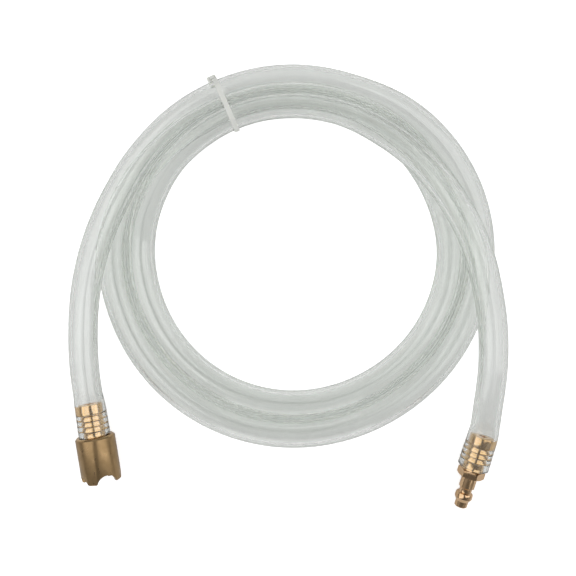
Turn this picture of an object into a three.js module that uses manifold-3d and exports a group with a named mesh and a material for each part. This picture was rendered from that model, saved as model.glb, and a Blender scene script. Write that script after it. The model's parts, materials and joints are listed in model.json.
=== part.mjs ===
// Oil transfer hose: a clear PVC hose in a flat coil, a notched brass suction foot on one end,
// a barbed brass quick-coupler plug on the other, and a nylon tie round the coil.
// Millimetres, +Z up. Everything is drawn round the middle of the coil, lying on the floor, and
// moved at the end. Bearings are degrees from +X towards +Y; the route is written from the foot to
// the plug, so its bearings fall.
import * as THREE from "three";
import { mergeVertices } from "three/addons/utils/BufferGeometryUtils.js";
import Module from "manifold-3d";

// Driving dimensions
const GAP = 0.3; // air left between pieces that touch on the real object
const HOSE_R = 7;
const BORE_R = 5;
const SWOLLEN_BORE_R = 6.05; // the hose where it is stretched over a barbed stem
const SWOLLEN_R = 7.5; // at the stem's front
const SWOLLEN_END_R = 7.9; // at the hose's end
const SWELL_LENGTH = 5; // how far the stretch takes to build up
const HOSE_SIDES = 16;
const BORE_SIDES = 10;
const STEP_LENGTH = 10; // between sections round the coil
const LEAD_STEP_LENGTH = 3; // and along a lead, where it meets the stem

const FLOOR = HOSE_R; // height of a strand that lies on the floor
const TOP = FLOOR + 13; // height of a strand that nests on the strands below
const OVER = FLOOR + 2 * HOSE_R + GAP; // height of a strand that crosses straight over another
const STRAP_THICK = 1.1;
const LIFT = STRAP_THICK + GAP; // how far the strap under the bundle lifts it

const STEM_FRONT = 5.3; // plain front of a barbed stem
const BARB_PITCH = 2.7;
const BARB_COUNT = 4;
const BARB_R = SWOLLEN_BORE_R - GAP;
const BARB_ROOT_R = 5.15;
const TURNED_SIDES = 48;

const CUP_R = 9.8;
const CUP_BORE_R = 7;
const CUP_LENGTH = 22.9;
const CUP_CHAMFER = 0.9;
const CUP_DEPTH = 15;
const NOTCH_R = 5;
const NOTCH_OUT = 0.9; // a notch's middle is this far beyond the cup's end
const NOTCH_TURN = 28; // from straight up, towards the right seen from above
const FOOT_BORE_R = 3;

const HEX_FLATS = 12;
const HEX_LENGTH = 4;
const HEX_TURN = 13; // a flat faces up, turned this far towards the coil
const PLUG_SHOULDER = 1.2; // plain ring between the hose end and the hexagon
const PLUG_BORE_R = 2.1;
const NOSE_LENGTH = 16.8;
const SHANK_R = 3.95;
const NECK_R = 3.15;
const COLLAR_R = 4.4;
const TIP_R = 3.25;

const TIE_BEARING = 114;
const STRAP_WIDTH = 2.5;
const HEAD = { out: 3.6, along: 4.6, tall: 4.4 };
const HEAD_SIDE = 1.1; // the head stands to one side of the strap

// The tie pulls the strands together: near it, radii close in on the middle of the bundle
const BUNDLE_R = 79;
const SQUEEZE = 0.1;
const SQUEEZE_MIDDLE = 106;
const SQUEEZE_FULL = 32;
const SQUEEZE_FADE = 26;

// The stems inside the hose's ends: where the front is, how the stem runs and how long it is. Tilt is
// from -Y, positive towards +X. Pitch is downwards: the foot's front is held up by the climbing hose,
// and the plug rests on the hose's end and the tip of its nose.
const FOOT_STEM = { bearing: 216.27, radius: 124.15, height: 12.45, tilt: 8.4, pitch: 4, length: 16 };
const PLUG_STEM = {
  bearing: -43.32, radius: 130.17, height: 11.3, tilt: -14.9, pitch: 12, length: 17.2,
};
const SWING_SOCKET_R = HOSE_R + 0.4;
const BALL_OVERLAP = 0.15; // share of a lead's length that its ball is cut from

// The hose's centre: bearing, radius, height
const ROUTE = [
  // the foot lead comes in from outside and climbs over the outer strand
  [210, 117.9, 13.4], [200, 109.2, 15.4], [190, 102.4, 17.7], [180, 96.7, 19.9], [170, 92.2, 21.3],
  // first turn, on top at the tie, then out and down into the outer lane
  [160, 89.2, OVER + 0.1], [150, 88.2, OVER + 0.3], [132, 87.1, TOP + LIFT + 0.5],
  [TIE_BEARING, 86.3, TOP + LIFT], [90, 86.3, TOP + 0.2], [70, 86.8, 19.4], [55, 88.3, 18.2],
  [42, 90.1, 16.4], [30, 91.7, 14], [17, 93.5, 9.4], [0, 94, FLOOR + 0.2], [-30, 92, FLOOR],
  [-60, 90, FLOOR], [-90, 89.2, FLOOR], [-160, 89.3, FLOOR], [-180, 90, FLOOR],
  // second turn, in under the other two at the tie, then in the inner lane
  [-195, 89.3, FLOOR], [-212, 86.4, FLOOR + 0.3], [-230, 81.8, FLOOR + 1],
  [TIE_BEARING - 360, 79.3, FLOOR + LIFT], [-270, 79, FLOOR + 0.6], [-300, 79, FLOOR],
  [-360, 78.75, FLOOR], [-385, 77.3, FLOOR], [-420, 75.5, FLOOR], [-450, 74.8, FLOOR],
  [-520, 74.8, FLOOR], [-540, 75.4, FLOOR + 0.5],
  // back up on top at the tie, then over both strands on the far side and out
  [-556, 75.4, 11.8], [-572, 74.1, 16.4], [-590, 72.4, TOP + LIFT - 1.2],
  [TIE_BEARING - 720, 71.8, TOP + LIFT], [-630, 71.8, TOP + 0.3], [-650, 72.3, TOP + 0.7],
  [-668, 74.2, 21.2], [-684, 77.2, OVER + 0.2], [-700, 81.6, OVER + 0.4], [-711, 86.1, OVER + 0.5],
  [-721, 91, OVER + 0.5], [-731, 96.8, 21.2], [-742, 105.5, 19.9], [-750, 113.2, 17.7],
  [-757.5, 121.6, 14.7],
];
const FOOT_SWING_BEARING = 200; // the stations where the leads flex
const PLUG_SWING_BEARING = -742;

const rad = THREE.MathUtils.degToRad;
const wasm = await Module();
wasm.setup();

// Solids for joining and cutting

function solidOf(geometry, matrix) {
  const bare = geometry.clone();
  bare.deleteAttribute("normal");
  bare.deleteAttribute("uv");
  if (matrix) bare.applyMatrix4(matrix);
  const merged = mergeVertices(bare, 1e-4);
  return new wasm.Manifold(new wasm.Mesh({
    numProp: 3,
    vertProperties: new Float32Array(merged.attributes.position.array),
    triVerts: new Uint32Array(merged.index.array),
  }));
}

function geometryOf(solid) {
  const mesh = solid.getMesh();
  const geometry = new THREE.BufferGeometry();
  geometry.setAttribute("position", new THREE.BufferAttribute(mesh.vertProperties, 3));
  geometry.setIndex(new THREE.BufferAttribute(mesh.triVerts, 1));
  geometry.computeVertexNormals();
  return geometry;
}

// The hose

function fromBearing(bearing, radius, height) {
  const a = rad(bearing);
  return new THREE.Vector3(radius * Math.cos(a), radius * Math.sin(a), height);
}

function stemFrame(stem) {
  const [tilt, pitch] = [rad(stem.tilt), rad(stem.pitch)];
  const axis = new THREE.Vector3(
    Math.sin(tilt) * Math.cos(pitch), -Math.cos(tilt) * Math.cos(pitch), -Math.sin(pitch),
  );
  const front = fromBearing(stem.bearing, stem.radius, stem.height);
  return { ...stem, front, axis, end: front.clone().addScaledVector(axis, stem.length) };
}

const footStem = stemFrame(FOOT_STEM);
const plugStem = stemFrame(PLUG_STEM);

// A stem's place as three stations, so that the hose runs straight over it
function stationsOver(stem, turn) {
  return [0, 0.5, 1].map((share) => {
    const point = stem.front.clone().lerp(stem.end, share);
    const bearing = THREE.MathUtils.radToDeg(Math.atan2(point.y, point.x)) + turn;
    return [bearing, Math.hypot(point.x, point.y), point.z];
  });
}

const stations = [
  ...stationsOver(footStem, 360).reverse(),
  ...ROUTE,
  ...stationsOver(plugStem, -720),
];
const spans = stations.length - 1;
const smoothRoute = new THREE.CatmullRomCurve3(
  stations.map(([bearing, radius, height]) => new THREE.Vector3(bearing, radius, height)),
);
const swingAt = (bearing) => stations.findIndex((station) => station[0] === bearing) / spans;
const footSwing = swingAt(FOOT_SWING_BEARING);
const plugSwing = swingAt(PLUG_SWING_BEARING);

function onHose(t) {
  const station = smoothRoute.getPoint(t);
  return fromBearing(station.x, station.y, station.z);
}

class Stretch extends THREE.Curve {
  constructor(from, to) {
    super();
    this.from = from;
    this.to = to;
    this.arcLengthDivisions = 600;
  }
  getPoint(t, target = new THREE.Vector3()) {
    return target.copy(onHose(this.from + t * (this.to - this.from)));
  }
}

function ring(radius, sides) {
  return Array.from({ length: sides }, (_, i) => {
    const a = (2 * Math.PI * i) / sides;
    return new THREE.Vector2(radius * Math.cos(a), radius * Math.sin(a));
  });
}

function tube(from, to, stepLength) {
  const path = new Stretch(from, to);
  const section = new THREE.Shape(ring(HOSE_R, HOSE_SIDES));
  const boreCorners = BORE_R / Math.cos(Math.PI / BORE_SIDES); // its flats keep the bore's radius
  section.holes.push(new THREE.Path(ring(boreCorners, BORE_SIDES).reverse()));
  const steps = Math.round(path.getLength() / stepLength);
  return new THREE.ExtrudeGeometry(section, { extrudePath: path, steps });
}

function reshape(geometry, move) {
  const position = geometry.attributes.position;
  const point = new THREE.Vector3();
  for (let i = 0; i < position.count; i += 1) {
    move(point.fromBufferAttribute(position, i));
    position.setXYZ(i, point.x, point.y, point.z);
  }
  return geometry;
}

function smooth(value) {
  return THREE.MathUtils.smoothstep(value, 0, 1);
}

// Near the tie, radii move towards the middle of the bundle
function squeezed(point) {
  const bearing = THREE.MathUtils.radToDeg(Math.atan2(point.y, point.x));
  const away = Math.abs(bearing - SQUEEZE_MIDDLE) - SQUEEZE_FULL;
  const share = SQUEEZE * (1 - smooth(away / SQUEEZE_FADE));
  const radius = Math.hypot(point.x, point.y);
  const scale = (BUNDLE_R + (radius - BUNDLE_R) * (1 - share)) / radius;
  point.x *= scale;
  point.y *= scale;
  return point;
}

// Over a stem the hose is stretched: its bore clears the barbs and its outside swells
function stretchedOver(stem) {
  return (point) => {
    const along = point.clone().sub(stem.front).dot(stem.axis);
    const centre = stem.front.clone().addScaledVector(stem.axis, along);
    const share = smooth(1 + along / SWELL_LENGTH);
    const out = point.clone().sub(centre);
    const outside = out.length() > (HOSE_R + BORE_R) / 2;
    const flare = THREE.MathUtils.clamp(along / stem.length, 0, 1);
    const swollen = THREE.MathUtils.lerp(SWOLLEN_R, SWOLLEN_END_R, flare);
    const grown = outside ? swollen / HOSE_R : SWOLLEN_BORE_R / BORE_R;
    if (share > 0) point.copy(centre).addScaledVector(out, 1 + share * (grown - 1));
  };
}

function ball(centre, radius) {
  const shape = new THREE.SphereGeometry(radius, 32, 20);
  return solidOf(shape, new THREE.Matrix4().setPosition(centre));
}

// Everything within one hose size behind the plane where a lead starts to flex
function behind(centre, direction) {
  const size = 4 * HOSE_R;
  const turn = new THREE.Quaternion().setFromUnitVectors(new THREE.Vector3(0, 0, 1), direction);
  const middle = centre.clone().addScaledVector(direction, -size / 2);
  const place = new THREE.Matrix4().compose(middle, turn, new THREE.Vector3(1, 1, 1));
  return solidOf(new THREE.BoxGeometry(size, size, size), place);
}

function coil() {
  const strands = reshape(tube(footSwing, plugSwing, STEP_LENGTH), squeezed);
  const sockets = ball(onHose(footSwing), SWING_SOCKET_R)
    .add(ball(onHose(plugSwing), SWING_SOCKET_R));
  return geometryOf(solidOf(strands).subtract(sockets));
}

// A lead starts as a ball in the coil's socket, so that it can swing without opening a wide gap
function lead(swing, end, stem) {
  const centre = onHose(swing);
  const towardsCoil = (swing - end) * BALL_OVERLAP;
  const path = tube(swing + towardsCoil, end, LEAD_STEP_LENGTH);
  const body = solidOf(reshape(path, stretchedOver(stem)));
  const direction = onHose(swing - towardsCoil * 0.1).sub(centre).normalize();
  const waste = behind(centre, direction).subtract(ball(centre, HOSE_R));
  return geometryOf(body.subtract(waste));
}

// Turned brass: profiles are (radius, length from the stem's front)

function barbedStem() {
  const outline = [[BARB_R - 0.9, 0], [BARB_R - 0.2, 0.7], [BARB_R - 0.2, STEM_FRONT - 0.4]];
  for (let i = 0; i < BARB_COUNT; i += 1) {
    const crest = STEM_FRONT + i * BARB_PITCH;
    outline.push([BARB_R, crest - 0.1], [BARB_R, crest + 0.2], [BARB_ROOT_R, crest + 0.7]);
  }
  return outline;
}

function turned(outline) {
  const points = outline.map(([radius, length]) => new THREE.Vector2(radius, -length)).reverse();
  return solidOf(new THREE.LatheGeometry([...points, points[0].clone()], TURNED_SIDES));
}

// Lathes turn about Y with the stem's front at the origin and the piece running to -Y
function placed(solid, stem) {
  const geometry = geometryOf(solid);
  geometry.rotateX(rad(stem.pitch));
  geometry.rotateZ(rad(stem.tilt));
  geometry.translate(stem.front.x, stem.front.y, stem.front.z);
  return geometry;
}

function suctionFoot() {
  const face = footStem.length + GAP;
  const end = face + CUP_LENGTH;
  const edge = 0.6;
  const body = turned([
    [FOOT_BORE_R, 0], ...barbedStem(), [BARB_ROOT_R, face],
    [CUP_R - CUP_CHAMFER, face], [CUP_R, face + CUP_CHAMFER],
    [CUP_R, end - edge], [CUP_R - edge, end],
    [CUP_BORE_R, end], [CUP_BORE_R, end - CUP_DEPTH],
    [FOOT_BORE_R, end - CUP_DEPTH - (CUP_BORE_R - FOOT_BORE_R) * 0.6],
  ]);
  const drill = new THREE.CylinderGeometry(NOTCH_R, NOTCH_R, 3 * CUP_R, 32);
  const notches = [0, 90].map((turn) => {
    const place = new THREE.Matrix4().makeTranslation(0, -end - NOTCH_OUT, 0)
      .multiply(new THREE.Matrix4().makeRotationY(rad(NOTCH_TURN + turn)))
      .multiply(new THREE.Matrix4().makeRotationX(rad(90)));
    return solidOf(drill, place);
  });
  return placed(body.subtract(notches[0].add(notches[1])), footStem);
}

function hexagon(start) {
  const prism = new THREE.CylinderGeometry(1, 1, HEX_LENGTH, 6);
  const corners = HEX_FLATS / Math.sqrt(3);
  const place = new THREE.Matrix4().makeTranslation(0, -start - HEX_LENGTH / 2, 0)
    .multiply(new THREE.Matrix4().makeRotationY(rad(30 - HEX_TURN)))
    .multiply(new THREE.Matrix4().makeScale(corners, 1, corners));
  const bevel = 0.9;
  const flat = HEX_FLATS / 2 - 0.2;
  const rounded = turned([
    [0, start], [flat, start], [flat + bevel * 1.8, start + bevel],
    [flat + bevel * 1.8, start + HEX_LENGTH - bevel], [flat, start + HEX_LENGTH],
    [0, start + HEX_LENGTH],
  ]);
  return solidOf(prism, place).intersect(rounded);
}

function plugFitting() {
  const hoseEnd = plugStem.length + GAP;
  const hexStart = plugStem.length + PLUG_SHOULDER;
  const nose = hexStart + HEX_LENGTH;
  const end = nose + NOSE_LENGTH;
  const body = turned([
    [PLUG_BORE_R, 0], ...barbedStem(), [BARB_ROOT_R, hoseEnd],
    [BARB_R, hoseEnd + 0.2], [BARB_R, hexStart + 0.4],
    [SHANK_R, hexStart + 0.8], [SHANK_R, nose + 5.9], [NECK_R, nose + 6.45],
    [NECK_R, nose + 8.6], [COLLAR_R - 0.3, nose + 9.1], [COLLAR_R, nose + 9.85],
    [COLLAR_R, nose + 11.7], [TIP_R, nose + 13.55],
    [TIP_R, end - 0.5], [TIP_R - 0.5, end], [PLUG_BORE_R, end],
  ]);
  const bore = turned([
    [0, -1], [PLUG_BORE_R, -1], [PLUG_BORE_R, end + 1], [0, end + 1],
  ]);
  return placed(body.add(hexagon(hexStart).subtract(bore)), plugStem);
}

// The tie: a strap pulled tight round three strands, drawn in the upright plane at its bearing

function strapOutline(strands, radius) {
  const outline = new THREE.Path();
  strands.forEach((strand, i) => {
    const before = strands[(i + strands.length - 1) % strands.length];
    const after = strands[(i + 1) % strands.length];
    const outOf = (a, b) => Math.atan2(b.y - a.y, b.x - a.x) - Math.PI / 2;
    outline.absarc(strand.x, strand.y, radius, outOf(before, strand), outOf(strand, after), false);
  });
  return outline;
}

function cableTie() {
  const strands = [-360, 0, -720].map((turn) => {
    const [, radius, height] = ROUTE.find(([bearing]) => bearing === TIE_BEARING + turn);
    return new THREE.Vector2(radius, height);
  });
  const inside = HOSE_R + GAP;
  const shape = new THREE.Shape(strapOutline(strands, inside + STRAP_THICK).getPoints(10));
  shape.holes.push(new THREE.Path(strapOutline(strands, inside).getPoints(10).reverse()));
  const strap = new THREE.ExtrudeGeometry(shape, {
    depth: STRAP_WIDTH, bevelEnabled: false, curveSegments: 10,
  });
  strap.translate(0, 0, -STRAP_WIDTH / 2);
  const outer = strands[1];
  const box = new THREE.BoxGeometry(HEAD.out, HEAD.tall, HEAD.along);
  box.translate(outer.x + inside + HEAD.out / 2, outer.y - HEAD.tall / 2, -HEAD_SIDE);
  const tie = geometryOf(solidOf(strap).add(solidOf(box)));
  tie.rotateX(rad(90));
  tie.rotateZ(rad(TIE_BEARING));
  return reshape(tie, squeezed);
}

// The scene

function piece(name, geometry, color, roughness, metalness) {
  const material = new THREE.MeshStandardMaterial({ color, roughness, metalness });
  const mesh = new THREE.Mesh(geometry, material);
  mesh.name = name;
  return mesh;
}

const CLEAR_PVC = 0xd6dad4;
const assembly = new THREE.Group();
assembly.add(
  piece("hose_coil", coil(), CLEAR_PVC, 0.12, 0),
  piece("hose_foot_lead", lead(footSwing, 0, footStem), CLEAR_PVC, 0.12, 0),
  piece("hose_plug_lead", lead(plugSwing, 1, plugStem), CLEAR_PVC, 0.12, 0),
  piece("suction_foot", suctionFoot(), 0x9c7d4f, 0.42, 1),
  piece("plug_fitting", plugFitting(), 0xb58a5c, 0.25, 1),
  piece("cable_tie", cableTie(), 0xe2e0d6, 0.4, 0),
);

// The part's origin is under the middle of its box, on the floor
const box = new THREE.Box3().setFromObject(assembly, true);
const middle = box.getCenter(new THREE.Vector3());
assembly.position.set(-middle.x, -middle.y, -box.min.z);

const part = new THREE.Group();
part.add(assembly);

export default part;
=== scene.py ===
"""Oil transfer hose: a clear PVC hose in a flat coil, a notched brass foot, a brass coupler plug
and a nylon tie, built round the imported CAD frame. Lengths are metres; MM turns millimetres into them.
"""

import json
import math
from collections import namedtuple

import bpy
import numpy as np
from mathutils import Matrix, Vector


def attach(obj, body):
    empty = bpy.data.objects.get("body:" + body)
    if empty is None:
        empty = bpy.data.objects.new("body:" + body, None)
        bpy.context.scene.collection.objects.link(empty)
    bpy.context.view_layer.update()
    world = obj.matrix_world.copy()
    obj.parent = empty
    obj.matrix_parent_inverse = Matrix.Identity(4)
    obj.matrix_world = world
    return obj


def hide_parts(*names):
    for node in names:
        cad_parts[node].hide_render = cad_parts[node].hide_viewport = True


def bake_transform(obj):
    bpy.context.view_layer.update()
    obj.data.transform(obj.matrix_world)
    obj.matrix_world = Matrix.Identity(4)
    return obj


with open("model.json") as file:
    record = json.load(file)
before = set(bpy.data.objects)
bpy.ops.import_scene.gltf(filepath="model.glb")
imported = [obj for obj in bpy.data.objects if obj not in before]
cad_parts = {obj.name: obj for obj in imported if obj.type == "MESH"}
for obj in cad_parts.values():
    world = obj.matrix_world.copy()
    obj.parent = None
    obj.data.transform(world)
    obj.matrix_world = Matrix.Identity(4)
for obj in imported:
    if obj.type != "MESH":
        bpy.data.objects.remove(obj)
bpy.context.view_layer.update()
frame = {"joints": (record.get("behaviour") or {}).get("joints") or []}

MM = 0.001

# Driving dimensions in millimetres. They are the CAD's, but CLOSE_R, CONTACT_R and BARB_R close the air
# that the CAD has to leave
HOSE_R = 7.0
CLOSE_R = 7.15  # the free hose as drawn, so that strands touch
BORE_R = 5.0
SWOLLEN_R = 7.5  # over the stem's front
SWOLLEN_END_R = 7.9  # at the hose's end
SWELL_LENGTH = 5.0
CONTACT_R = 5.9  # the stretched bore where it grips the barbs
LOOSE_GAP = 0.12  # how much wider the bore is over the plain front
LOOSE_SHIFT = 0.16  # and how far it lies to one side there, so that it touches on the other
GAP = 0.3  # the CAD's air between pieces that touch
FLOOR = HOSE_R  # height of a strand that lies on the floor
TOP = FLOOR + 13  # height of a strand that nests on the strands below
OVER = FLOOR + 2 * HOSE_R + GAP  # height of a strand that crosses straight over another
STRAP_WIDTH = 2.5
STRAP_THICK = 1.1
LIFT = STRAP_THICK + GAP  # how far the strap under the bundle lifts it
STEM_FRONT = 5.3  # plain front of a barbed stem
BARB_PITCH = 2.7
BARB_COUNT = 4
BARB_R = CONTACT_R + 0.06  # the crests press into the hose
BARB_ROOT_R = 5.15
CUP_R = 9.8
PLUG_BORE_R = 2.1
PLUG_SHANK_R = 3.95
TIE_BEARING = 114
BUNDLE_R = 79  # the radius that the strands are pressed towards near the tie
SQUEEZE = 0.1  # and by which share
SQUEEZE_MIDDLE = 106  # at which bearing
SQUEEZE_FULL = 32  # for so many degrees to either side
SQUEEZE_FADE = 26  # and fading over so many more

# The stems inside the hose's ends: where the front is, how the stem runs and how long it is
Stem = namedtuple("Stem", "bearing radius height tilt pitch length")
FOOT_STEM = Stem(216.27, 124.15, 12.45, tilt=8.4, pitch=4, length=16)
PLUG_STEM = Stem(-43.32, 130.17, 11.3, tilt=-14.9, pitch=12, length=17.2)

# The hose's centre, from the foot to the plug: bearing, radius, height. In the inner lane it lies up to
# 0.75 mm further out than the CAD's, so that it touches the outer one
ROUTE = [
    # the foot lead comes in from outside and climbs over the outer strand
    (210, 117.9, 13.4), (200, 109.2, 15.4), (190, 102.4, 17.7), (180, 96.7, 19.9), (170, 92.2, 21.3),
    # first turn, on top at the tie, then out and down into the outer lane
    (160, 89.2, OVER + 0.1), (150, 88.2, OVER + 0.3), (132, 87.1, TOP + LIFT + 0.5),
    (TIE_BEARING, 86.3, TOP + LIFT), (90, 86.3, TOP + 0.2), (70, 86.8, 19.4), (55, 88.3, 18.2),
    (42, 90.1, 16.4), (30, 91.7, 14), (17, 93.5, 9.4), (0, 94, FLOOR + 0.2), (-30, 92, FLOOR),
    (-60, 90, FLOOR), (-90, 89.2, FLOOR), (-160, 89.3, FLOOR), (-180, 90, FLOOR),
    # second turn, in under the other two at the tie, then in the inner lane, where it touches the first
    (-195, 89.3, FLOOR), (-212, 86.4, FLOOR + 0.3), (-230, 81.8, FLOOR + 1),
    (TIE_BEARING - 360, 79.3, FLOOR + LIFT), (-270, 79, FLOOR + 0.6), (-300, 79, FLOOR),
    (-335, 79, FLOOR), (-360, 79.5, FLOOR), (-385, 78, FLOOR), (-420, 75.6, FLOOR), (-450, 74.8, FLOOR),
    (-520, 74.9, FLOOR), (-540, 75.6, FLOOR + 0.5),
    # back up on top at the tie, then over both strands on the far side and out
    (-556, 75.4, 11.8), (-572, 74.1, 16.4), (-590, 72.4, TOP + LIFT - 1.2),
    (TIE_BEARING - 720, 71.8, TOP + LIFT), (-630, 71.8, TOP + 0.3), (-650, 72.3, TOP + 0.7),
    (-668, 74.2, 21.2), (-684, 77.2, OVER + 0.2), (-700, 81.6, OVER + 0.4), (-711, 86.1, OVER + 0.5),
    (-721, 91, OVER + 0.5), (-731, 96.8, 21.2), (-742, 105.5, 19.9), (-750, 113.2, 17.7),
    (-757.5, 121.6, 14.7),
]
FOOT_SWING_BEARING = 200


def smooth(x):
    """0 below 0, 1 above 1, and a soft step between."""
    x = np.clip(x, 0, 1)
    return x * x * (3 - 2 * x)


def from_bearing(bearing, radius, height):
    a = np.radians(bearing)
    return np.stack([radius * np.cos(a), radius * np.sin(a), height + 0 * a], -1)


# --- the hose's route ---


def stem_ends(stem):
    """Where a stem's front is, and where the hose ends on it."""
    front = from_bearing(stem.bearing, stem.radius, stem.height)
    tilt, pitch = math.radians(stem.tilt), math.radians(stem.pitch)
    level = np.array([math.sin(tilt), -math.cos(tilt), 0]) * math.cos(pitch)
    axis = level - np.array([0, 0, math.sin(pitch)])
    return front, front + axis * stem.length


def stations_over(stem, turn):
    """Stations at a stem's front, middle and end, with so many degrees added to their bearings."""
    front, end = stem_ends(stem)
    rows = []
    for share in (0, 0.5, 1):
        x, y, z = front + (end - front) * share
        rows.append((math.degrees(math.atan2(y, x)) + turn, math.hypot(x, y), z))
    return rows


def through(stations, per_span):
    """Points of a centripetal Catmull-Rom curve through the stations, and each one's station number."""
    p = np.array(stations, float)
    p = np.vstack([2 * p[0] - p[1], p, 2 * p[-1] - p[-2]])
    points, numbers = [], []
    for i in range(len(stations) - 1):
        p0, p1, p2, p3 = p[i : i + 4]
        d0, d1, d2 = (np.linalg.norm(b - a) ** 0.5 for a, b in ((p0, p1), (p1, p2), (p2, p3)))
        t1 = d1 * ((p1 - p0) / d0 - (p2 - p0) / (d0 + d1)) + (p2 - p1)
        t2 = d1 * ((p3 - p2) / d2 - (p3 - p1) / (d1 + d2)) + (p2 - p1)
        t = np.linspace(0, 1, per_span, endpoint=False)[:, None]
        cubic = (2 * p1 - 2 * p2 + t1 + t2) * t**3 + (3 * p2 - 3 * p1 - 2 * t1 - t2) * t**2
        points.append(cubic + t1 * t + p1)
        numbers.append(i + t[:, 0])
    points.append(p[-2][None])
    numbers.append(np.array([len(stations) - 1.0]))
    return np.vstack(points), np.concatenate(numbers)


STATIONS = stations_over(FOOT_STEM, 360)[::-1] + ROUTE + stations_over(PLUG_STEM, -720)
POINTS_PER_SPAN = 60  # of the curve between two stations


class Route:
    """The hose's centre line as a function of the length along it, in millimetres round the coil."""

    def __init__(self):
        polar, self.numbers = through(STATIONS, POINTS_PER_SPAN)
        self.points = from_bearing(*polar.T)
        steps = np.linalg.norm(np.diff(self.points, axis=0), axis=1)
        self.lengths = np.concatenate([[0], np.cumsum(steps)])
        self.total = self.lengths[-1]

    def at(self, s):
        return np.stack([np.interp(s, self.lengths, self.points[:, i]) for i in range(3)], -1)

    def tangent(self, s, reach=0.5):
        t = self.at(np.minimum(s + reach, self.total)) - self.at(np.maximum(s - reach, 0))
        return t / np.linalg.norm(t, axis=-1, keepdims=True)

    def length_at(self, bearing):
        """The length at the station with this bearing."""
        number = [row[0] for row in STATIONS].index(bearing)
        return float(np.interp(number, self.numbers, self.lengths))


route = Route()
foot_swing = next(j for j in frame["joints"] if j["child"] == "foot_lead")
# the CAD moved everything from the coil's middle into the row frame; the foot joint shows how far
OFFSET = np.array(foot_swing["pos_m"]) / MM - route.at(route.length_at(FOOT_SWING_BEARING))


def squeezed(points):
    """Near the tie, radii move towards the middle of the bundle."""
    bearing = np.degrees(np.arctan2(points[..., 1], points[..., 0]))
    away = np.abs(bearing - SQUEEZE_MIDDLE) - SQUEEZE_FULL
    share = SQUEEZE * (1 - smooth(away / SQUEEZE_FADE))
    radius = np.hypot(points[..., 0], points[..., 1])
    scale = (BUNDLE_R + (radius - BUNDLE_R) * (1 - share)) / radius
    return points * np.stack([scale, scale, np.ones_like(scale)], -1)


def to_row(points):
    """Millimetres round the coil's middle to metres in the row frame."""
    return (points + OFFSET) * MM


# --- meshes ---


def new_object(name, mesh):
    obj = bpy.data.objects.new(name, mesh)
    bpy.context.scene.collection.objects.link(obj)
    return obj


def mesh_of(name, points, faces, smooth_angle=40):
    mesh = bpy.data.meshes.new(name)
    mesh.from_pydata([tuple(p) for p in points], [], faces)
    mesh.update()
    mesh.shade_smooth()
    mesh.set_sharp_from_angle(angle=math.radians(smooth_angle))
    return mesh


def keep_vectors(mesh, name, vectors):
    """Stores a vector at each point, for a material to read."""
    mesh.attributes.new(name, "FLOAT_VECTOR", "POINT").data.foreach_set("vector", np.ravel(vectors))


def grid_faces(rows, columns, close_rows=False):
    """Quads of a grid whose columns wrap round, and whose rows may too."""
    faces = []
    for i in range(rows if close_rows else rows - 1):
        below = (i + 1) % rows
        for j in range(columns):
            k = (j + 1) % columns
            faces.append((i * columns + j, i * columns + k, below * columns + k, below * columns + j))
    return faces


# --- the clear hose ---

RING_STEP = 1.8
FINE_RING_STEP = 0.22  # over the stems
OUTSIDE_SIDES = 56
BORE_SIDES = 48
LIP = 0.25  # radius of the cut ends' edges
GRIP_LENGTH = 0.8  # the loose bore closes over this length before the barbs
FIRST_DIP = 0.5  # and starts to sink between them over this length
# How far the hose sinks between two barbs, and how wide a crest holds it up
OUTSIDE_DIP, OUTSIDE_CREST = 0.08, 0.6
BORE_DIP, BORE_CREST = 0.1, 0.5


def barb_crests():
    return STEM_FRONT + BARB_PITCH * np.arange(BARB_COUNT)


def stem_length(s):
    """The length of the stem on the nearer end of the hose."""
    return np.where(s < route.total / 2, FOOT_STEM.length, PLUG_STEM.length)


def stem_depth(s):
    """How far along a stem, from its front, the section at s lies; negative before it."""
    return stem_length(s) - np.minimum(s, route.total - s)


def stretch(s):
    """0 along the free hose, rising to 1 where a stem's front fills it."""
    return smooth(1 + stem_depth(s) / SWELL_LENGTH)


def between_crests(s, width):
    """1 in the valleys between the barbs, 0 on the crests and before them."""
    depth = stem_depth(s)
    share = smooth((depth - STEM_FRONT) / FIRST_DIP)
    for crest in barb_crests():
        share = share * (1 - np.exp(-(((depth - crest) / width) ** 2)))
    return share


def looseness(s):
    """1 over a stem's plain front, 0 over its barbs and along the free hose."""
    return stretch(s) * smooth((STEM_FRONT - stem_depth(s)) / GRIP_LENGTH)


def outer_radius(s):
    flare = np.clip(stem_depth(s) / stem_length(s), 0, 1)
    swollen = SWOLLEN_R + (SWOLLEN_END_R - SWOLLEN_R) * flare
    dip = OUTSIDE_DIP * between_crests(s, OUTSIDE_CREST)
    return CLOSE_R + (swollen - CLOSE_R) * stretch(s) - dip


def bore_radius(s):
    dip = BORE_DIP * between_crests(s, BORE_CREST)
    return BORE_R + (CONTACT_R - BORE_R) * stretch(s) - dip + LOOSE_GAP * looseness(s)


def ring_lengths(start, end):
    """Where along the route a length of hose has a ring of points: closer together over the stems."""
    s = np.arange(start, end, RING_STEP)
    over_stem = np.arange(0, PLUG_STEM.length + SWELL_LENGTH, FINE_RING_STEP)
    s = np.concatenate([s, over_stem, route.total - over_stem, [start, end]])
    s = np.unique(np.round(s[(s >= start) & (s <= end)], 3))
    clear_of_last = np.diff(s) > FINE_RING_STEP * 0.4
    return s[np.concatenate([[True], clear_of_last])]


def cross_axes(tangent):
    """Unit vectors to the side and up, square to the hose."""
    side = np.cross([0, 0, 1], tangent)
    side /= np.linalg.norm(side, axis=1, keepdims=True)
    return side, np.cross(tangent, side)


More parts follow.
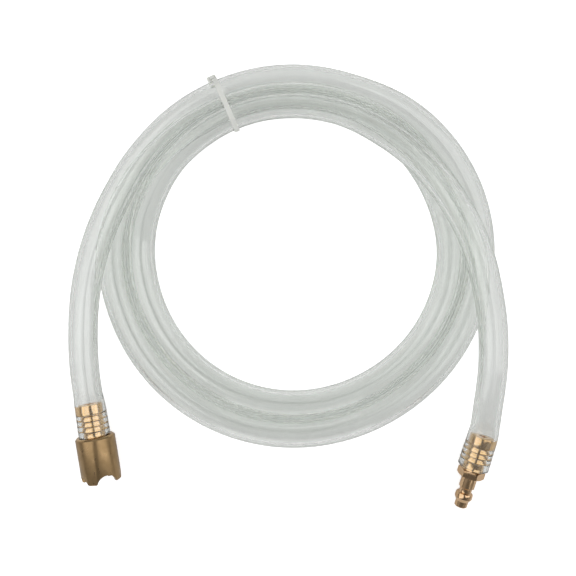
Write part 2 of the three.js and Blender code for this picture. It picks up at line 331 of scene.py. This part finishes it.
def tube(s, middle, radius, axes, sides):
    """Rings of points round a middle line, and each point's (cos, sin, length) for the material."""
    side, up = axes
    a = np.linspace(0, 2 * np.pi, sides, endpoint=False)
    offset = side[:, None] * np.cos(a)[None, :, None] + up[:, None] * np.sin(a)[None, :, None]
    points = middle[:, None] + offset * radius[:, None, None]
    space = np.empty(points.shape)
    space[..., 0] = np.cos(a)
    space[..., 1] = np.sin(a)
    space[..., 2] = s[:, None]
    return to_row(squeezed(points)).reshape(-1, 3), space.reshape(-1, 3)


def hose_faces(count):
    """The outside and the bore of a hose of so many rings, joined at both ends."""
    first = count * OUTSIDE_SIDES
    outside = grid_faces(count, OUTSIDE_SIDES)
    bore = [tuple(first + v for v in reversed(f)) for f in grid_faces(count, BORE_SIDES)]
    near = end_face(0, first, OUTSIDE_SIDES, BORE_SIDES, True)
    far = end_face((count - 1) * OUTSIDE_SIDES, first + (count - 1) * BORE_SIDES,
                   OUTSIDE_SIDES, BORE_SIDES, False)
    return outside + bore + near + far


def hose_piece(name, start, end):
    """A closed length of hose between two lengths of the route."""
    s = ring_lengths(start, end)
    centre = route.at(s)
    axes = cross_axes(route.tangent(s))
    from_end = np.minimum(s - start, end - s)
    rounding = LIP * (1 - np.sqrt(1 - np.clip(1 - from_end / LIP, 0, 1) ** 2))
    bore_centre = centre - axes[0] * (LOOSE_SHIFT * looseness(s))[:, None]
    outside, outside_space = tube(s, centre, outer_radius(s) - rounding, axes, OUTSIDE_SIDES)
    bore, bore_space = tube(s, bore_centre, bore_radius(s) + rounding, axes, BORE_SIDES)
    mesh = mesh_of(name, np.concatenate([outside, bore]), hose_faces(len(s)), smooth_angle=50)
    keep_vectors(mesh, "hose_space", np.concatenate([outside_space, bore_space]))
    return new_object(name, mesh)


def end_face(outer_first, inner_first, outer_sides, inner_sides, at_start):
    """Joins an outer and an inner ring of different counts with one ring of triangles."""
    faces, i, j = [], 0, 0
    while i < outer_sides or j < inner_sides:
        a, b = outer_first + i % outer_sides, inner_first + j % inner_sides
        if j >= inner_sides or (i < outer_sides and (i + 1) * inner_sides <= (j + 1) * outer_sides):
            faces.append((a, b, outer_first + (i + 1) % outer_sides))
            i += 1
        else:
            faces.append((a, b, inner_first + (j + 1) % inner_sides))
            j += 1
    return faces if not at_start else [tuple(reversed(f)) for f in faces]


# --- turned brass ---

NEAR_AXIS = 0.01  # the smallest radius of an outline, so that no face there loses its area


def turned(name, outline, sides=128):
    """A body turned round its own -Y from a closed outline of (radius, length), in millimetres."""
    profile = np.array(outline, float)
    a = np.linspace(0, 2 * np.pi, sides, endpoint=False)
    rows = len(profile)
    points = np.empty((rows, sides, 3))
    points[..., 0] = profile[:, 0, None] * np.sin(a)
    points[..., 1] = -profile[:, 1, None]
    points[..., 2] = profile[:, 0, None] * np.cos(a)
    faces = grid_faces(rows, sides, close_rows=True)
    return new_object(name, mesh_of(name, points.reshape(-1, 3) * MM, faces, 30))


def barbed_stem():
    """Outline of the stem: a rounded front, a plain length, then barbs that drop behind each crest."""
    rows = [(BARB_R - 0.7, 0.0), (BARB_R - 0.15, 0.25), (BARB_R, 0.7), (BARB_R, STEM_FRONT - 0.2)]
    for crest in barb_crests():
        rows += [(BARB_R, crest - 0.35), (BARB_R, crest + 0.05), (BARB_R - 0.25, crest + 0.3)]
        rows += [(BARB_ROOT_R, crest + 0.55), (BARB_ROOT_R, crest + 0.8)]
    return rows


def modify(obj, kind, **settings):
    modifier = obj.modifiers.new(kind.lower(), kind)
    for key, value in settings.items():
        setattr(modifier, key, value)
    bpy.context.view_layer.objects.active = obj
    bpy.ops.object.modifier_apply(modifier=modifier.name)


def cut(obj, tool, operation="DIFFERENCE"):
    modify(obj, "BOOLEAN", operation=operation, object=tool, solver="EXACT")
    bpy.data.objects.remove(tool)


def rod(name, radius, length, sides=96):
    """A plain round tool along Z for cutting."""
    a = np.linspace(0, 2 * np.pi, sides, endpoint=False)
    ring = np.stack([np.cos(a) * radius, np.sin(a) * radius], -1)
    points = [(x, y, z) for z in (-length / 2, length / 2) for x, y in ring]
    faces = [tuple(range(sides))[::-1], tuple(range(sides, 2 * sides))]
    faces += [(i, (i + 1) % sides, sides + (i + 1) % sides, sides + i) for i in range(sides)]
    return new_object(name, mesh_of(name, np.array(points) * MM, faces))


def soften_edges(obj, width, angle=32):
    modify(obj, "BEVEL", width=width * MM, segments=3, limit_method="ANGLE",
           angle_limit=math.radians(angle), use_clamp_overlap=True, harden_normals=False)
    obj.data.shade_smooth()
    obj.data.set_sharp_from_angle(angle=math.radians(30))


def place_on_stem(obj, stem):
    """Moves a turned body onto its stem; its own coordinates stay with it for the tool marks."""
    data = obj.data
    own = np.empty(len(data.vertices) * 3)
    data.vertices.foreach_get("co", own)
    keep_vectors(data, "turned_space", own)
    tilt = Matrix.Rotation(math.radians(stem.tilt), 4, "Z")
    pitch = Matrix.Rotation(math.radians(stem.pitch), 4, "X")
    data.transform(Matrix.Translation(to_row(stem_ends(stem)[0])) @ (tilt @ pitch))


def suction_foot():
    bore, cup_bore, length, depth = 3.0, 7.0, 22.9, 15.0
    chamfer, edge, bore_edge = 0.9, 0.6, 0.3
    notch_r, notch_turn = 5.0, 28
    notch_out = 0.9  # a notch's middle is this far beyond the cup's end
    face = FOOT_STEM.length + GAP
    end = face + length
    foot = turned("suction_foot_brass", [
        (bore + bore_edge, 0), *barbed_stem(), (BARB_ROOT_R, face),
        (CUP_R - chamfer, face), (CUP_R, face + chamfer),
        (CUP_R, end - edge), (CUP_R - edge, end),
        (cup_bore + bore_edge, end), (cup_bore, end - bore_edge), (cup_bore, end - depth),
        (bore, end - depth - (cup_bore - bore) * 0.6), (bore, bore_edge),
    ])
    middle = Matrix.Translation((0, -(end + notch_out) * MM, 0))
    for turn in (notch_turn, notch_turn + 90):
        drill = rod("notch_drill", notch_r, 3 * CUP_R)
        drill.matrix_world = middle @ Matrix.Rotation(math.radians(turn), 4, "Y")
        cut(foot, drill)
    soften_edges(foot, 0.12)
    place_on_stem(foot, FOOT_STEM)
    return foot


def hexagon(start, length, flats, turn):
    """A hexagonal prism along -Y, a flat turned from upwards, with its corners turned off at both ends."""
    corners = flats / math.sqrt(3)
    a = np.radians(np.arange(30, 390, 60) - turn)
    ring = np.stack([np.sin(a) * corners, np.cos(a) * corners], -1)
    points = [(x, -y, z) for y in (start, start + length) for x, z in ring]
    faces = [tuple(range(6)), tuple(range(6, 12))[::-1]]
    faces += [(i + 6, (i + 1) % 6 + 6, (i + 1) % 6, i) for i in range(6)]
    prism = new_object("hexagon", mesh_of("hexagon", np.array(points) * MM, faces))
    bevel, past = 0.9, 0.01
    face_r = flats / 2 - 0.2  # of the round face that the turned corners leave
    rim = face_r + bevel * 1.8
    cone = turned("hexagon_cone", [
        (NEAR_AXIS, start - past), (face_r, start - past), (rim, start + bevel),
        (rim, start + length - bevel), (face_r, start + length + past), (NEAR_AXIS, start + length + past),
    ])
    cut(prism, cone, "INTERSECT")
    return prism


def plug_nose(start, end):
    """Outline of the nose from the hexagon to its tip: shank, lock groove, collar, tip and bore."""
    shank, neck, collar, tip = PLUG_SHANK_R, 3.15, 4.4, 3.25
    edge, bore_edge = 0.5, 0.2
    return [
        (shank, start + 5.9), (neck, start + 6.45), (neck, start + 8.6), (collar - 0.3, start + 9.1),
        (collar, start + 9.85), (collar, start + 11.7), (tip, start + 13.55),
        (tip, end - edge), (tip - edge, end), (PLUG_BORE_R + bore_edge, end), (PLUG_BORE_R, end - bore_edge),
    ]


def plug_fitting():
    shoulder, nut_length, nut_flats, nut_turn, nose_length = 1.2, 4.0, 12.0, 13, 16.8
    ring = BARB_R - 0.2  # the plain ring between the hose's end and the hexagon
    hose_end = PLUG_STEM.length + GAP
    nut_start = PLUG_STEM.length + shoulder
    nose = nut_start + nut_length
    end = nose + nose_length
    plug = turned("plug_fitting_brass", [
        (PLUG_BORE_R + 0.3, 0), *barbed_stem(), (BARB_ROOT_R, hose_end),
        (ring, hose_end + 0.2), (ring, nut_start + 0.4),
        (PLUG_SHANK_R, nut_start + 0.8), *plug_nose(nose, end), (PLUG_BORE_R, 0.3),
    ])
    nut = hexagon(nut_start, nut_length, nut_flats, nut_turn)
    inside_shank = PLUG_SHANK_R - 0.3
    hole = [(NEAR_AXIS, 0), (inside_shank, 0), (inside_shank, end), (NEAR_AXIS, end)]
    cut(nut, turned("hexagon_hole", hole))
    cut(plug, nut, "UNION")
    soften_edges(plug, 0.1)
    place_on_stem(plug, PLUG_STEM)
    return plug


# --- the cable tie ---

STRAP_INSIDE = HOSE_R + GAP * 0.5  # from a strand's centre to the strap's inner face


def tie_strands():
    """Where the strands cross the tie, before the squeeze, in turning order: (radius, height)."""
    return [next(row[1:] for row in ROUTE if row[0] == TIE_BEARING - turn) for turn in (360, 0, 720)]


def strap_path(radius, per_arc=28):
    """Points and outward normals round the strands, like a belt round three rollers."""
    strands = np.array(tie_strands())
    points, normals = [], []
    for i, strand in enumerate(strands):
        before, after = strands[i - 1], strands[(i + 1) % 3]
        first = math.atan2(*(strand - before)[::-1]) - math.pi / 2
        last = math.atan2(*(after - strand)[::-1]) - math.pi / 2
        if last < first:
            last += 2 * math.pi
        a = np.linspace(first, last, per_arc)
        normal = np.stack([np.cos(a), np.sin(a)], -1)
        points.append(strand + normal * radius)
        normals.append(normal)
    return np.vstack(points), np.vstack(normals)


def evenly(points, normals, spacing):
    """The closed path again, with points at even spacing."""
    closed = np.vstack([points, points[:1]])
    turn = np.vstack([normals, normals[:1]])
    s = np.concatenate([[0], np.cumsum(np.linalg.norm(np.diff(closed, axis=0), axis=1))])
    at = np.linspace(0, s[-1], int(s[-1] / spacing), endpoint=False)
    return [np.stack([np.interp(at, s, table[:, i]) for i in range(2)], -1) for table in (closed, turn)]


def in_tie_plane(radial, across, height):
    """Radius, distance across the strap and height to the coil's own axes."""
    a = math.radians(TIE_BEARING)
    out, along = np.array([math.cos(a), math.sin(a)]), np.array([-math.sin(a), math.cos(a)])
    flat = radial[..., None] * out + across[..., None] * along
    return np.concatenate([flat, height[..., None]], -1)


def strap_section(sides=20, squareness=0.35):
    """The strap's section, a flat band with round edges: across it, and outwards from its inner face."""
    a = np.linspace(0, 2 * np.pi, sides, endpoint=False)
    across = np.sign(np.cos(a)) * np.abs(np.cos(a)) ** squareness * STRAP_WIDTH / 2
    outwards = (np.sign(np.sin(a)) * np.abs(np.sin(a)) ** squareness + 1) * STRAP_THICK / 2
    return across, outwards


def cable_tie():
    spacing, tooth_height, tooth_pitch = 0.3, 0.12, 1.2
    path, normal = evenly(*strap_path(STRAP_INSIDE), spacing)
    section_x, section_y = strap_section()
    teeth = tooth_height * (1 + np.cos(np.arange(len(path)) * spacing * 2 * np.pi / tooth_pitch))
    on_inner_face = section_y[None, :] < STRAP_THICK * 0.3
    lift = section_y[None, :] + teeth[:, None] * on_inner_face
    radial = path[:, 0, None] + normal[:, 0, None] * lift
    height = path[:, 1, None] + normal[:, 1, None] * lift
    across = np.broadcast_to(section_x[None], radial.shape)
    points = to_row(squeezed(in_tie_plane(radial, across, height)))
    faces = grid_faces(len(path), len(section_x), close_rows=True)
    tie = new_object("cable_tie_nylon", mesh_of("cable_tie_nylon", points.reshape(-1, 3), faces, 50))
    cut(tie, tie_head(), "UNION")
    return tie


def box_mesh(name, size, middle):
    x, y, z = (v / 2 for v in size)
    points = [(sx * x, sy * y, sz * z) for sz in (-1, 1) for sy in (-1, 1) for sx in (-1, 1)]
    faces = [(0, 2, 3, 1), (4, 5, 7, 6), (0, 1, 5, 4), (2, 6, 7, 3), (0, 4, 6, 2), (1, 3, 7, 5)]
    points = (np.array(points) + np.array(middle)) * MM
    return new_object(name, mesh_of(name, points, faces))


def tie_head():
    """The head: a rounded block with a slot for the strap, its pawl window and the trimmed tail."""
    out, along, tall = 3.6, 4.6, 4.4
    side = 1.1  # how far it stands to one side of the strap
    sunk = 0.2  # and how far its back reaches into the strap
    strap_in_head, strap_at = 0.25, -side * 0.4
    outer = tie_strands()[1]
    middle = np.array([outer[0] + STRAP_INSIDE + out / 2 - sunk, side, outer[1] - tall / 2])
    head = box_mesh("tie_head", (out, along, tall), (0, 0, 0))
    soften_edges(head, 0.55)
    cut(head, box_mesh("slot", (1.25, 2.7, tall * 2), (strap_in_head, strap_at, 0)))
    cut(head, box_mesh("pawl_window", (2, 1.6, 1.7), (out / 2, strap_at, -0.5)))
    cut(head, box_mesh("tail", (0.95, 2.4, tall + 1.6), (strap_in_head, strap_at, -0.2)), "UNION")
    soften_edges(head, 0.06)
    data = head.data
    local = np.array([v.co for v in data.vertices]) / MM + middle
    placed = to_row(squeezed(in_tie_plane(local[:, 0], local[:, 1], local[:, 2])))
    # the plane's axes (out, along, up) keep their hand, so the faces still point out
    data.vertices.foreach_set("co", placed.astype(np.float32).ravel())
    data.update()
    return head


# --- materials ---


class Nodes:
    """A material's node tree, with short calls for what the materials here need."""

    def __init__(self, name):
        self.material = bpy.data.materials.new(name)
        self.material.use_nodes = True
        self.tree = self.material.node_tree
        self.shader = self.tree.nodes["Principled BSDF"]
        self.output = self.tree.nodes["Material Output"]

    def add(self, kind, **values):
        node = self.tree.nodes.new(kind)
        for key, value in values.items():
            if key in node.inputs:
                self.feed(node.inputs[key], value)
            else:
                setattr(node, key, value)
        return node

    def feed(self, socket, value):
        if isinstance(value, bpy.types.NodeSocket):
            self.tree.links.new(value, socket)
        else:
            socket.default_value = value

    def set(self, **values):
        for key, value in values.items():
            self.feed(self.shader.inputs[key.replace("_", " ")], value)

    def math(self, operation, a, b=0.0):
        node = self.tree.nodes.new("ShaderNodeMath")
        node.operation = operation
        self.feed(node.inputs[0], a)
        self.feed(node.inputs[1], b)
        return node.outputs[0]

    def noise(self, vector, scale, detail=3.0, roughness=0.5, stretch=None):
        if stretch:
            vector = self.add("ShaderNodeMapping", Vector=vector, Scale=stretch).outputs[0]
        node = self.add("ShaderNodeTexNoise", Vector=vector, Scale=scale, Detail=detail, Roughness=roughness)
        return node.outputs["Fac"]

    def range(self, value, low, high, out_low, out_high):
        node = self.tree.nodes.new("ShaderNodeMapRange")
        for index, number in enumerate((low, high, out_low, out_high), 1):
            node.inputs[index].default_value = number
        self.feed(node.inputs[0], value)
        return node.outputs[0]

    def mix(self, factor, a, b):
        node = self.tree.nodes.new("ShaderNodeMix")
        node.data_type = "RGBA"
        self.feed(node.inputs["Factor"], factor)
        self.feed(node.inputs["A"], a)
        self.feed(node.inputs["B"], b)
        return node.outputs["Result"]

    def bump(self, height, strength, distance, normal=None):
        node = self.add("ShaderNodeBump", Height=height, Strength=strength, Distance=distance * MM)
        if normal is not None:
            self.feed(node.inputs["Normal"], normal)
        return node.outputs[0]

    def let_lamps_through(self, tint):
        """Rays to the lamps go straight through: the shader can't carry bent lamp light to the floor."""
        open_way = self.add("ShaderNodeBsdfTransparent", Color=tint)
        to_lamp = self.add("ShaderNodeLightPath").outputs["Is Shadow Ray"]
        either = self.tree.nodes.new("ShaderNodeMixShader")
        self.feed(either.inputs[0], to_lamp)
        self.tree.links.new(self.shader.outputs[0], either.inputs[1])
        self.tree.links.new(open_way.outputs[0], either.inputs[2])
        self.tree.links.new(either.outputs[0], self.output.inputs["Surface"])


def clear_pvc():
    """Clear soft PVC: faint green in the thick, extrusion streaks along it, a slightly uneven wall."""
    n = Nodes("clear_pvc")
    space = n.add("ShaderNodeAttribute", attribute_name="hose_space").outputs["Vector"]
    streaks = n.noise(space, 5.0, 1.0, 0.5, stretch=(1, 1, 0.0012))
    swell = n.noise(space, 1.0, 2.0, 0.4, stretch=(1.2, 1.2, 0.02))
    haze = n.noise(space, 2.2, 4.0, 0.6, stretch=(1, 1, 0.01))
    normal = n.bump(streaks, 0.35, 0.09)
    normal = n.bump(swell, 0.2, 0.4, normal)
    n.set(
        Base_Color=(0.98, 0.98, 0.98, 1), Transmission_Weight=0.98, IOR=1.53,
        Roughness=n.range(haze, 0.35, 0.75, 0.04, 0.11), Normal=normal,
    )
    volume = n.add("ShaderNodeVolumeAbsorption", Color=(0.795, 0.845, 0.785, 1), Density=75.0)
    n.tree.links.new(volume.outputs[0], n.output.inputs["Volume"])
    n.let_lamps_through((1, 1, 1, 1))
    return n.material


PAINTED_SHEEN_UNDER_HOSE = (0.72, 0.49, 0.255, 1)  # brighter than the bare brass: a painted sheen for the light that the clear hose gathers onto it
UNDER_HOSE_ROUGHNESS = 0.14


def brass(name, colour, tarnish, roughness, stem):
    """Turned brass: tool marks round the axis, patches of tarnish, scratches, and under the hose a brighter
    painted sheen and a smoother finish.
    """
    n = Nodes(name)
    space = n.add("ShaderNodeAttribute", attribute_name="turned_space").outputs["Vector"]
    along = n.add("ShaderNodeSeparateXYZ", Vector=space).outputs["Y"]
    bare = n.range(along, -(stem.length + 1) * MM, -stem.length * MM, 1, 0)
    patches = n.noise(space, 260, 4.0, 0.6)
    rings = n.noise(space, 1.0, 2.0, 0.5, stretch=(40, 9000, 40))
    scratches = n.noise(space, 900, 3.0, 0.7, stretch=(1, 0.12, 1))
    worn = n.mix(n.range(patches, 0.35, 0.7, 0, 1), colour, tarnish)
    rough = n.range(patches, 0.3, 0.7, roughness * 0.8, roughness * 1.25)
    rough = n.math("ADD", rough, n.range(scratches, 0.45, 0.7, 0, 0.06))
    rough = n.math("MULTIPLY", rough, bare)
    covered = n.math("SUBTRACT", 1.0, bare)
    rough = n.math("ADD", rough, n.math("MULTIPLY", covered, UNDER_HOSE_ROUGHNESS))
    # under the hose the colour is lifted to a painted sheen, brighter brass that stands in for light seen
    # through the hose
    n.set(Base_Color=n.mix(bare, PAINTED_SHEEN_UNDER_HOSE, worn), Metallic=1.0, Roughness=rough,
          Normal=n.bump(rings, 0.12, 0.02, n.bump(scratches, 0.15, 0.01)))
    return n.material


def natural_nylon():
    """Off-white nylon, a little translucent, with flow marks and a fine grain."""
    n = Nodes("natural_nylon")
    space = n.add("ShaderNodeTexCoord").outputs["Object"]
    flow = n.noise(space, 500, 3.0, 0.5)
    grain = n.noise(space, 4000, 2.0, 0.5)
    n.set(Base_Color=n.mix(flow, (0.74, 0.75, 0.71, 1), (0.81, 0.82, 0.78, 1)),
          Roughness=n.range(flow, 0.3, 0.7, 0.3, 0.45), Subsurface_Weight=0.5,
          Subsurface_Scale=1.5 * MM, IOR=1.53, Normal=n.bump(grain, 0.2, 0.02))
    n.shader.inputs["Subsurface Radius"].default_value = (1.0, 1.0, 0.9)
    return n.material


def floor_material():
    """Pale card. The camera sees it lifted to white, as on a cut-out page; the hose shows its true tone."""
    n = Nodes("floor_white")
    seen = n.add("ShaderNodeLightPath").outputs["Is Camera Ray"]
    n.set(Base_Color=(0.9, 0.9, 0.9, 1), Roughness=0.9, Specular_IOR_Level=0.0,
          Emission_Color=(1, 1, 1, 1), Emission_Strength=n.math("MULTIPLY", seen, 0.6))
    return n.material


# --- the stage ---


def softbox(name, place, size, radiance):
    """A rectangular lamp of an even brightness, turned to the middle of the table."""
    data = bpy.data.lights.new(name, "AREA")
    data.shape = "RECTANGLE"
    data.size, data.size_y = size
    data.energy = radiance * math.pi * size[0] * size[1]
    lamp = bpy.data.objects.new(name, data)
    bpy.context.scene.collection.objects.link(lamp)
    lamp.location = place
    lamp.rotation_euler = (-Vector(place)).to_track_quat("-Z", "Y").to_euler()


def studio_world():
    """A dim room: darkest straight overhead, where the camera is, and at the horizon."""
    world = bpy.data.worlds.new("studio")
    world.use_nodes = True
    tree = world.node_tree
    direction = tree.nodes.new("ShaderNodeTexCoord").outputs["Generated"]
    split = tree.nodes.new("ShaderNodeSeparateXYZ")
    tree.links.new(direction, split.inputs[0])
    ramp = tree.nodes.new("ShaderNodeValToRGB")
    tree.links.new(split.outputs["Z"], ramp.inputs[0])
    ramp.color_ramp.interpolation = "EASE"
    # how bright the room is at each height, from the horizon to straight overhead
    levels = ((0.0, 0.2), (0.26, 0.36), (0.5, 0.36), (0.72, 0.16), (1.0, 0.13))
    for _ in levels[2:]:
        ramp.color_ramp.elements.new(0.5)
    for element, (height, level) in zip(ramp.color_ramp.elements, levels):
        element.position = height
        element.color = (level, level, level, 1)
    background = tree.nodes["Background"]
    tree.links.new(ramp.outputs[0], background.inputs["Color"])
    bpy.context.scene.world = world


FLOOR_HALF = 20.0  # metres; it reaches the horizon in a low view
# Each lamp's name, place, size and brightness, in metres
SOFTBOXES = [
    ("left_softbox", (-0.588, 0.08, 0.809), (1.0, 1.15), 1.3),
    ("right_softbox", (0.669, 0.08, 0.743), (1.0, 1.15), 1.3),
    ("front_softbox", (0, -0.94, 0.34), (0.9, 0.5), 1.2),
    ("back_softbox", (0, 0.75, 0.66), (0.9, 0.8), 0.3),
]


def stage():
    points = [(x * FLOOR_HALF, y * FLOOR_HALF, 0) for x, y in ((-1, -1), (1, -1), (1, 1), (-1, 1))]
    floor = new_object("floor", mesh_of("floor", points, [(0, 1, 2, 3)]))
    floor.data.materials.append(floor_material())
    for lamp in SOFTBOXES:
        softbox(*lamp)
    studio_world()


CAMERA_OVER = (-2.0, -16.5, 477)  # from the middle of the coil, in millimetres
LENS = 58.75
SENSOR = 36


def camera():
    """Straight above, as the photograph is taken, from about half a metre."""
    data = bpy.data.cameras.new("camera")
    data.sensor_width = SENSOR
    data.lens = LENS
    obj = bpy.data.objects.new("camera", data)
    bpy.context.scene.collection.objects.link(obj)
    obj.location = Vector(to_row(np.array(CAMERA_OVER)))
    bpy.context.scene.camera = obj


# --- the object ---

SEAM = 0.01  # air between two lengths of hose, under the tie's strap
foot_tie = route.length_at(TIE_BEARING)
plug_tie = route.length_at(TIE_BEARING - 720)
foot_hose = hose_piece("clear_hose_foot_lead", 0, foot_tie - SEAM)
coil_hose = hose_piece("clear_hose_coil", foot_tie, plug_tie)
plug_hose = hose_piece("clear_hose_plug_lead", plug_tie + SEAM, route.total)
foot = suction_foot()
plug = plug_fitting()
tie = cable_tie()

finishes = {
    "clear_pvc": clear_pvc(),
    "satin_brass": brass("satin_brass", (0.38, 0.255, 0.13, 1), (0.31, 0.205, 0.10, 1), 0.3, FOOT_STEM),
    "bright_brass": brass("bright_brass", (0.68, 0.465, 0.28, 1), (0.56, 0.37, 0.20, 1), 0.14, PLUG_STEM),
    "natural_nylon": natural_nylon(),
}


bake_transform(foot_hose)
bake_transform(plug_hose)
for piece, body in ((coil_hose, "coil"), (tie, "coil"), (foot, "foot_lead"), (plug, "plug_lead")):
    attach(piece, body)
for piece, node, finish in (
    (foot_hose, "hose_foot_lead", "clear_pvc"),
    (coil_hose, "hose_coil", "clear_pvc"),
    (plug_hose, "hose_plug_lead", "clear_pvc"),
    (foot, "suction_foot", "satin_brass"),
    (plug, "plug_fitting", "bright_brass"),
    (tie, "cable_tie", "natural_nylon"),
):
    piece.data.materials.append(finishes[finish])
    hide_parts(node)

stage()
camera()
scene = bpy.context.scene
scene.view_settings.view_transform = "Standard"
BOUNCES = 24  # a ray crosses up to three strands of hose, each with four surfaces
scene.cycles.max_bounces = BOUNCES
scene.cycles.transmission_bounces = BOUNCES
scene.cycles.transparent_max_bounces = BOUNCES
